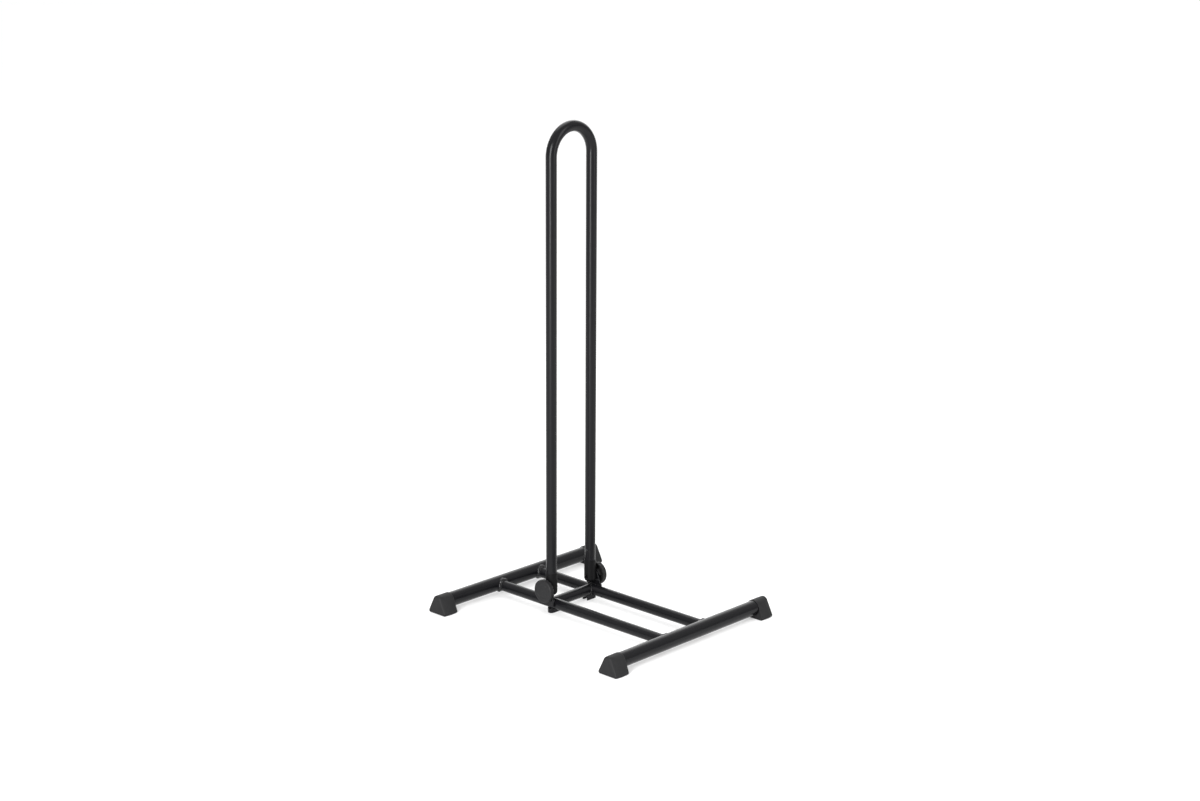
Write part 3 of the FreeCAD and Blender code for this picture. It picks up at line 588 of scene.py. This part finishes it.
def butt_joint(first_radius, first_above, second_radius):
    """The closed line round the end of a level tube that butts against a second one square to it.

    Points are (across, out, up) from where the axes cross in plan.  Going round the first tube
    gives a height, and the second tube's side is as far out, at that height, as its circle says.
    Returned with the directions away from the first tube's axis, and with the bead's strength: a
    bead runs thin where the two tubes only graze each other.
    """
    angle = np.linspace(0, 2 * np.pi, 240, endpoint=False)
    across, height = first_radius * np.cos(angle), first_radius * np.sin(angle)
    out = second_radius * np.sqrt(np.clip(1 - ((height + first_above) / second_radius) ** 2, 0, 1))
    away = np.stack([np.cos(angle), 0 * angle, np.sin(angle)], -1)
    strength = 0.3 + 0.7 * smooth_step(out / second_radius, 0.05, 0.5)
    return np.stack([across, out, height], -1), away, strength[:, None]


# %% Beads where the rails meet the cross tubes
OUT = np.array([[0.0, 1.0, 0.0]])


def rail_bead(side, hand):
    """The bead at one rail's front end; the rear one is its mirror image."""
    path, away, strength = butt_joint(RAIL_RADIUS, RAIL_AXIS[2] - CROSS_AXIS[2], CROSS_RADIUS)
    path = path - RAIL_BEAD_SINK * (away + OUT)
    start = [side * RAIL_AXIS[0], CROSS_AXIS[1], RAIL_AXIS[2]]
    out = np.repeat(OUT, len(path), axis=0)
    return bead_rings(path, away, out, hand, RAIL_BEAD_RADIUS * strength) + start


new_piece("front_rail_beads", "base", "front_rail_welds",
          skin(rail_bead(-1, 0.4), loop=True), skin(rail_bead(1, 1.9), loop=True))
new_piece("rear_rail_beads", "base", "rear_rail_welds",
          skin(rail_bead(-1, 3.1) * MIRROR_Y, loop=True),
          skin(rail_bead(1, 4.6) * MIRROR_Y, loop=True))


# %% Beads where the crossbar meets the rails
def crossbar_bead(hand):
    """The bead at the crossbar's right end, turned from the joint's own directions."""
    path, away, strength = butt_joint(RAIL_RADIUS, CROSSBAR_AXIS[2] - RAIL_AXIS[2], RAIL_RADIUS)
    outward = np.repeat(OUT, len(path), axis=0)
    rings = bead_rings(path, away, outward, hand, CROSSBAR_BEAD_RADIUS * strength)
    across, out, up = np.moveaxis(rings, -1, 0)
    return np.stack([RAIL_AXIS[0] - out, CROSSBAR_AXIS[1] + across, CROSSBAR_AXIS[2] + up], -1)


new_piece("crossbar_beads", "base", "crossbar_welds",
          skin(crossbar_bead(5.2) * MIRROR_X, loop=True), skin(crossbar_bead(0.9), loop=True))


# %% Beads between the rails and the ears
def ear_bead(height, size, hand):
    """A straight run along the groove between the right rail and its ear, with round ends."""
    low, high = span("ear_welds")
    along = np.linspace(low[1], high[1], 160)
    ends = np.sqrt(1 - np.abs(np.linspace(-0.999, 0.999, 160)) ** 12)
    ear_inner = span("right_hinge_ear")[0][0]
    path = np.stack([0 * along + ear_inner - EAR_BEAD_INSET, along, 0 * along + height], -1)
    across, up = (np.repeat([direction], 160, axis=0) for direction in ([1.0, 0, 0], [0, 0, 1.0]))
    return bead_rings(path, across, up, hand, size * ends[:, None])


EAR_BEAD_RISE = 5.6 * MM
UPPER_BEAD_RADIUS, LOWER_BEAD_RADIUS = 1.5 * MM, 1.1 * MM
lower_bead_height = span("right_hinge_ear")[0][2] - LOWER_BEAD_RADIUS / 2
beads = [ear_bead(RAIL_AXIS[2] + EAR_BEAD_RISE, UPPER_BEAD_RADIUS, 2.2),
         ear_bead(lower_bead_height, LOWER_BEAD_RADIUS, 3.7)]
new_piece("ear_beads", "base", "ear_welds", *[skin(bead) for bead in beads],
          *[skin(bead * MIRROR_X) for bead in beads])

# %% [markdown]
# ## The knobs
#
# A knob is a shallow moulded cup: a smooth face with a low dish, a round front edge, finger
# flutes round the side that stop short of the face, and inside a hub for the nut with eight
# ribs.  One sheet in polar coordinates makes all of it.  It starts in the bolt's hole, climbs the
# hub, crosses the ribs as a height that changes with the angle, comes down the skirt, goes up the
# fluted outside and ends in the middle of the face.

# %% Knob profile and what changes with the angle
KNOB_SKIRT = 1.8 * MM
KNOB_WEB = 2 * MM
KNOB_ROUND = 1.8 * MM
KNOB_HUB_RADIUS = 8.5 * MM
KNOB_DISH_RADIUS, KNOB_DISH_DEPTH = 10.5 * MM, 0.3 * MM
FLUTES, FLUTE_RADIUS, FLUTE_DEPTH, FLUTE_LAND = 16, 2.4 * MM, 0.9 * MM, 1.9 * MM
RIBS, RIB_THICKNESS, RIB_STEP = 8, 1.2 * MM, 1.2 * MM
GATE_MARK_RADIUS, GATE_MARK_HEIGHT, GATE_MARK_DEPTH = 0.7 * MM, 6.2 * MM, 0.35 * MM
KNOB_SOFT_EDGE = 0.3 * MM
KNOB_PLAY = 0.05 * MM


def nearest_turn(angles, count):
    """The signed angle from each direction to the nearest of several evenly spaced ones."""
    step = 2 * np.pi / count
    return (angles + step / 2) % step - step / 2


def flute_cut(rim, angles):
    """How far a ring of round grooves reaches into the rim at each angle.

    A ray at a small angle from a groove's centre line meets its circle where the law of cosines
    says.
    """
    turn = nearest_turn(angles, FLUTES)
    centre = rim + FLUTE_RADIUS - FLUTE_DEPTH
    inside = np.clip(FLUTE_RADIUS ** 2 - (centre * np.sin(turn)) ** 2, 0, None)
    return np.clip(rim - centre * np.cos(turn) + np.sqrt(inside), 0, None) * (inside > 0)


def knob_rings():
    """A right knob about the X axis, as rings from the bolt's hole to the middle of the face."""
    low, high = span("right_knob")
    rim = (high[1] - low[1]) / 2
    back, face = low[0], high[0]
    hub_back = span("right_knob_washer")[1][0] + KNOB_PLAY
    nut_end = span("right_knob_nut")[1][0]
    web = face - KNOB_WEB
    skirt = rim - KNOB_SKIRT
    angles = np.linspace(0, 2 * np.pi, 480, endpoint=False)
    from_rib = np.abs(np.sin(nearest_turn(angles, RIBS)))

    def level(radii, along):
        radii, along = np.broadcast_arrays(np.array(radii, float), np.array(along, float))
        return radii[:, None] + 0 * angles, along[:, None] + 0 * angles

    hub = level([BOLT_HOLE_RADIUS, BOLT_HOLE_RADIUS, KNOB_HUB_RADIUS - KNOB_SOFT_EDGE,
                 KNOB_HUB_RADIUS], [nut_end, hub_back, hub_back, hub_back + KNOB_SOFT_EDGE])
    radii = np.linspace(KNOB_HUB_RADIUS, skirt, 16)[:, None]
    on_rib = 1 - smooth_step(radii * from_rib, RIB_THICKNESS / 2 - 0.1 * MM,
                             RIB_THICKNESS / 2 + 0.15 * MM)
    valley = radii + 0 * angles, web - (web - back - RIB_STEP) * on_rib
    lip = level([skirt, skirt + KNOB_SOFT_EDGE, rim - KNOB_SOFT_EDGE],
                [back + KNOB_SOFT_EDGE, back, back])

    land = face - FLUTE_LAND
    along = np.concatenate([[back + KNOB_SOFT_EDGE],
                            np.linspace(back + 0.8 * MM, land - 0.9 * MM, 8),
                            np.linspace(land - 0.8 * MM, land + 0.1 * MM, 10)])[:, None]
    fade = 1 - smooth_step(along, land - 0.8 * MM, land)
    side = rim - flute_cut(rim, angles) * fade, along + 0 * angles
    lip[0][2] -= flute_cut(rim, angles)
    turn = np.linspace(0, np.pi / 2, 12)
    edge = level(rim - KNOB_ROUND * (1 - np.cos(turn)), face - KNOB_ROUND * (1 - np.sin(turn)))
    radii = np.concatenate([np.linspace(rim - KNOB_ROUND, KNOB_DISH_RADIUS + 0.4 * MM, 5)[1:],
                            KNOB_DISH_RADIUS + np.linspace(1, -1, 7) * 0.3 * MM,
                            np.linspace(KNOB_DISH_RADIUS - 0.6 * MM, 0.4 * MM, 44)])[:, None]
    dish = KNOB_DISH_DEPTH * smooth_step(-radii, -KNOB_DISH_RADIUS - 0.3 * MM,
                                         0.3 * MM - KNOB_DISH_RADIUS)
    from_mark = np.hypot(radii * np.cos(angles), radii * np.sin(angles) - GATE_MARK_HEIGHT)
    mark = GATE_MARK_DEPTH * (1 - smooth_step(from_mark, 0.4 * GATE_MARK_RADIUS, GATE_MARK_RADIUS))
    front = radii + 0 * angles, face - dish - mark
    radius, along = (np.concatenate([part[which] for part in (hub, valley, lip, side, edge, front)])
                     for which in (0, 1))
    return revolve_points(radius, along, angles) + [0, PIVOT[1], PIVOT[2]]


knob = knob_rings()
new_piece("fluted_right_knob", "right_knob", "right_knob", skin(knob))
new_piece("fluted_left_knob", "left_knob", "left_knob", skin(knob * MIRROR_X))

# %% [markdown]
# ## Floor and light
#
# A product like this is shot on a lit white table, so that the floor comes out pure white and the
# shadows stay pale.  Black satin tubes show hardly any colour of their own: what the eye reads is
# what they mirror.  Three soft boxes stand round the table: a weak one overhead and a little
# behind, a tall one on the left and a weaker one right of the camera.  A bright backdrop stands
# behind.  The walls are dark and the ceiling is grey, which gives the tubes their dark cores.

# %% Lit table
TABLE_REACH = 12.0
TABLE_GLOW = 0.36

table_mesh = bpy.data.meshes.new("lit_table")
corners = [(-1, -1), (1, -1), (1, 1), (-1, 1)]
table_mesh.from_pydata([(x * TABLE_REACH, y * TABLE_REACH, 0) for x, y in corners], [],
                       [(0, 1, 2, 3)])
table = bpy.data.objects.new("lit_table", table_mesh)
bpy.context.scene.collection.objects.link(table)
acrylic, acrylic_tree = new_finish("opal_acrylic_table")
acrylic_shader = add_node(acrylic_tree, "ShaderNodeBsdfPrincipled",
                          {"Base Color": linear("#D0D0D0"), "Roughness": 0.9,
                           "Emission Color": linear("#FFFFFF"), "Emission Strength": TABLE_GLOW})
add_node(acrylic_tree, "ShaderNodeOutputMaterial", Surface=acrylic_shader.outputs["BSDF"])
table_mesh.materials.append(acrylic)


# %% Room and backdrop
def toward(azimuth, elevation):
    """A direction from degrees anticlockwise from +X, and degrees above the floor."""
    turn, rise = math.radians(azimuth), math.radians(elevation)
    level = math.cos(rise)
    return Vector((math.cos(turn) * level, math.sin(turn) * level, math.sin(rise)))


WALL_LIGHT, CEILING_LIGHT = 0.4, 0.9
CEILING_START, CEILING_FULL = math.sin(math.radians(-5)), math.sin(math.radians(40))
BACKDROP_LIGHT = 1.8
BACKDROP_MIDDLE = toward(34, 14)
BACKDROP_EDGES = (math.cos(math.radians(38)), math.cos(math.radians(10)))


def smooth_range(tree, value, edges, levels):
    """A node that turns a value between two edges into an S-shaped rise between two levels."""
    return add_node(tree, "ShaderNodeMapRange",
                    {"interpolation_type": "SMOOTHSTEP", "From Min": edges[0], "From Max": edges[1],
                     "To Min": levels[0], "To Max": levels[1]}, Value=value).outputs["Result"]


world = bpy.data.worlds.new("studio")
bpy.context.scene.world = world
world.use_nodes = True
room = world.node_tree
room.nodes.clear()
look = add_node(room, "ShaderNodeTexCoord").outputs["Generated"]
height = add_node(room, "ShaderNodeSeparateXYZ", Vector=look).outputs["Z"]
facing = add_node(room, "ShaderNodeVectorMath", {"operation": "DOT_PRODUCT"})
facing.inputs[1].default_value = BACKDROP_MIDDLE
room.links.new(look, facing.inputs[0])
walls = smooth_range(room, height, (CEILING_START, CEILING_FULL), (WALL_LIGHT, CEILING_LIGHT))
backdrop = smooth_range(room, facing.outputs["Value"], BACKDROP_EDGES, (0, BACKDROP_LIGHT))
both = add_node(room, "ShaderNodeMath", {"operation": "ADD"})
room.links.new(walls, both.inputs[0])
room.links.new(backdrop, both.inputs[1])
air = add_node(room, "ShaderNodeBackground", Strength=both.outputs["Value"])
air.inputs["Color"].default_value = (1, 1, 1, 1)
add_node(room, "ShaderNodeOutputWorld", Surface=air.outputs["Background"])


# %% Soft boxes
def softbox(name, azimuth, elevation, distance, width, height, brightness):
    """A rectangular lamp that faces the stand; brightness is its radiance, white paper being 1."""
    lamp = bpy.data.lights.new(name, "AREA")
    lamp.shape = "RECTANGLE"
    lamp.size, lamp.size_y = width, height
    lamp.energy = brightness * math.pi * width * height
    box = bpy.data.objects.new(name, lamp)
    box.location = toward(azimuth, elevation) * distance
    box.rotation_euler = (-box.location).to_track_quat("-Z", "Y").to_euler()
    bpy.context.scene.collection.objects.link(box)
    print(f"{name}: {lamp.energy:.0f} W")


softbox("overhead_softbox", 60, 68, 2.6, 1.5, 1.5, 2.6)
softbox("left_softbox", -160, 20, 2.6, 0.9, 2.0, 18.0)
softbox("right_softbox", -72, 28, 2.6, 0.7, 2.2, 5.0)
bpy.context.scene.view_settings.view_transform = "Standard"
